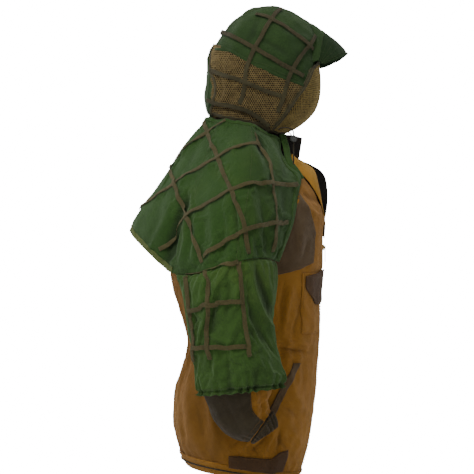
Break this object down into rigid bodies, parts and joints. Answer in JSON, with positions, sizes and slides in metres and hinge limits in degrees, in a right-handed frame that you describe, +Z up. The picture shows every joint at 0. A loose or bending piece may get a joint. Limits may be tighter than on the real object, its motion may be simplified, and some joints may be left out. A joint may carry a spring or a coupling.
{
  "type": "ghillie suit",
  "caption": "Hooded camouflage over-suit: netted hood with peak and face veil, taped shoulder cape with wide sleeves, over a zipped two-tone field smock.",
  "frame": {"origin": "centre of the smock's hem opening, in the plane of the hem's foot", "axes": "+Z up the suit; the front faces -Y, the wearer's right is -X"},
  "size_m": [0.6794, 0.4797, 1.0416],
  "materials": {
    "black_lining": "matt lining",
    "brown_cloth": "matt woven cotton",
    "cord": "braided cord",
    "elastic": "covered elastic",
    "garnish_tape": "narrow woven tape",
    "green_cloth": "matt woven cotton, faded",
    "hood_cloth": "matt woven cotton",
    "lock_plastic": "moulded",
    "mustard_cloth": "matt woven cotton, creased",
    "net": "open warp-knit net",
    "spring_steel": "drawn wire",
    "stiffener": "moulded board",
    "zip_metal": "dull, worn"
  },
  "bodies": {
    "hood": {"face_edge_channel": "hood_cloth", "hood_crown_strip": "hood_cloth", "hood_net_left": "net", "hood_net_right": "net", "hood_side_left": "hood_cloth", "hood_side_right": "hood_cloth", "hood_tapes_across": "garnish_tape", "hood_tapes_down": "garnish_tape", "throat_cord": "cord"},
    "peak": {"peak_stiffener": "stiffener", "peak_top": "hood_cloth", "peak_underside": "hood_cloth"},
    "veil": {"face_veil": "net", "veil_top_binding": "hood_cloth"},
    "flap_right": {"chest_flap_right": "brown_cloth"},
    "flap_left": {"chest_flap_left": "brown_cloth"},
    "zip_slider": {"zip_slider": "zip_metal"},
    "zip_pull": {"zip_pull": "zip_metal"},
    "lock_right": {"cord_lock_body_right": "lock_plastic", "cord_lock_spring_right": "spring_steel"},
    "lock_left": {"cord_lock_body_left": "lock_plastic", "cord_lock_spring_left": "spring_steel"},
    "plunger_right": {"cord_lock_plunger_right": "lock_plastic"},
    "plunger_left": {"cord_lock_plunger_left": "lock_plastic"},
    "suit": {"cape_back_left": "green_cloth", "cape_back_right": "green_cloth", "cape_front_left": "green_cloth", "cape_front_right": "green_cloth", "cape_hem_tape": "green_cloth", "cape_shoulder_left": "green_cloth", "cape_shoulder_right": "green_cloth", "cape_sleeve_left": "green_cloth", "cape_sleeve_right": "green_cloth", "cape_tapes_across": "garnish_tape", "cape_tapes_long": "garnish_tape", "chest_patches": "brown_cloth", "chest_pockets": "brown_cloth", "collar_lining": "black_lining", "cuffs": "brown_cloth", "forearm_patches": "brown_cloth", "front_lapel_left": "mustard_cloth", "front_lapel_right": "mustard_cloth", "front_zip": "zip_metal", "hand_pocket_welts": "brown_cloth", "hanger_loop": "brown_cloth", "hem_band": "brown_cloth", "hem_drawcord": "cord", "hip_patches": "brown_cloth", "lapel_lining": "black_lining", "shoulder_panels": "brown_cloth", "sleeve_elastic": "elastic", "sleeve_tapes_across": "garnish_tape", "sleeve_tapes_long": "garnish_tape", "smock_back": "mustard_cloth", "smock_collar": "brown_cloth", "smock_front_left": "mustard_cloth", "smock_front_right": "mustard_cloth", "smock_sleeve_left": "mustard_cloth", "smock_sleeve_right": "mustard_cloth"}
  },
  "joints": [
    {"name": "hood_tilt", "type": "hinge", "parent": "suit", "child": "hood", "pos_m": [0, 0.062, 0.776], "axis": [1, 0, 0], "range_deg": [-20, 0]},
    {"name": "peak_flip", "type": "hinge", "parent": "hood", "child": "peak", "pos_m": [0, -0.178, 0.97], "axis": [-1, 0, 0], "range_deg": [0, 35]},
    {"name": "veil_drop", "type": "hinge", "parent": "hood", "child": "veil", "pos_m": [0, -0.092, 0.741], "axis": [1, 0, 0], "range_deg": [0, 45]},
    {"name": "chest_flap_right_lift", "type": "hinge", "parent": "suit", "child": "flap_right", "pos_m": [-0.1035, -0.169, 0.4388], "axis": [-0.8966, 0.4198, -0.1409], "range_deg": [0, 60]},
    {"name": "chest_flap_left_lift", "type": "hinge", "parent": "suit", "child": "flap_left", "pos_m": [0.1035, -0.169, 0.4388], "axis": [-0.8966, -0.4198, 0.1409], "range_deg": [0, 60]},
    {"name": "front_zip_slide", "type": "slide", "parent": "suit", "child": "zip_slider", "axis": [0, 0.0384, -0.9993], "range_m": [0, 0.205]},
    {"name": "zip_pull_swing", "type": "hinge", "parent": "zip_slider", "child": "zip_pull", "pos_m": [0, -0.18929, 0.492], "axis": [-1, 0, 0], "range_deg": [0, 80]},
    {"name": "cord_lock_right_slide", "type": "slide", "parent": "hood", "child": "lock_right", "axis": [0, 0, -1], "range_m": [0, 0.035]},
    {"name": "cord_lock_left_slide", "type": "slide", "parent": "hood", "child": "lock_left", "axis": [0, 0, -1], "range_m": [0, 0.035]},
    {"name": "cord_lock_right_press", "type": "slide", "parent": "lock_right", "child": "plunger_right", "axis": [1, 0, 0], "range_m": [0, 0.002], "stiffness_N_per_m": 900, "deforming": ["cord_lock_spring_right"]},
    {"name": "cord_lock_left_press", "type": "slide", "parent": "lock_left", "child": "plunger_left", "axis": [-1, 0, 0], "range_m": [0, 0.002], "stiffness_N_per_m": 900, "deforming": ["cord_lock_spring_left"]}
  ]
}
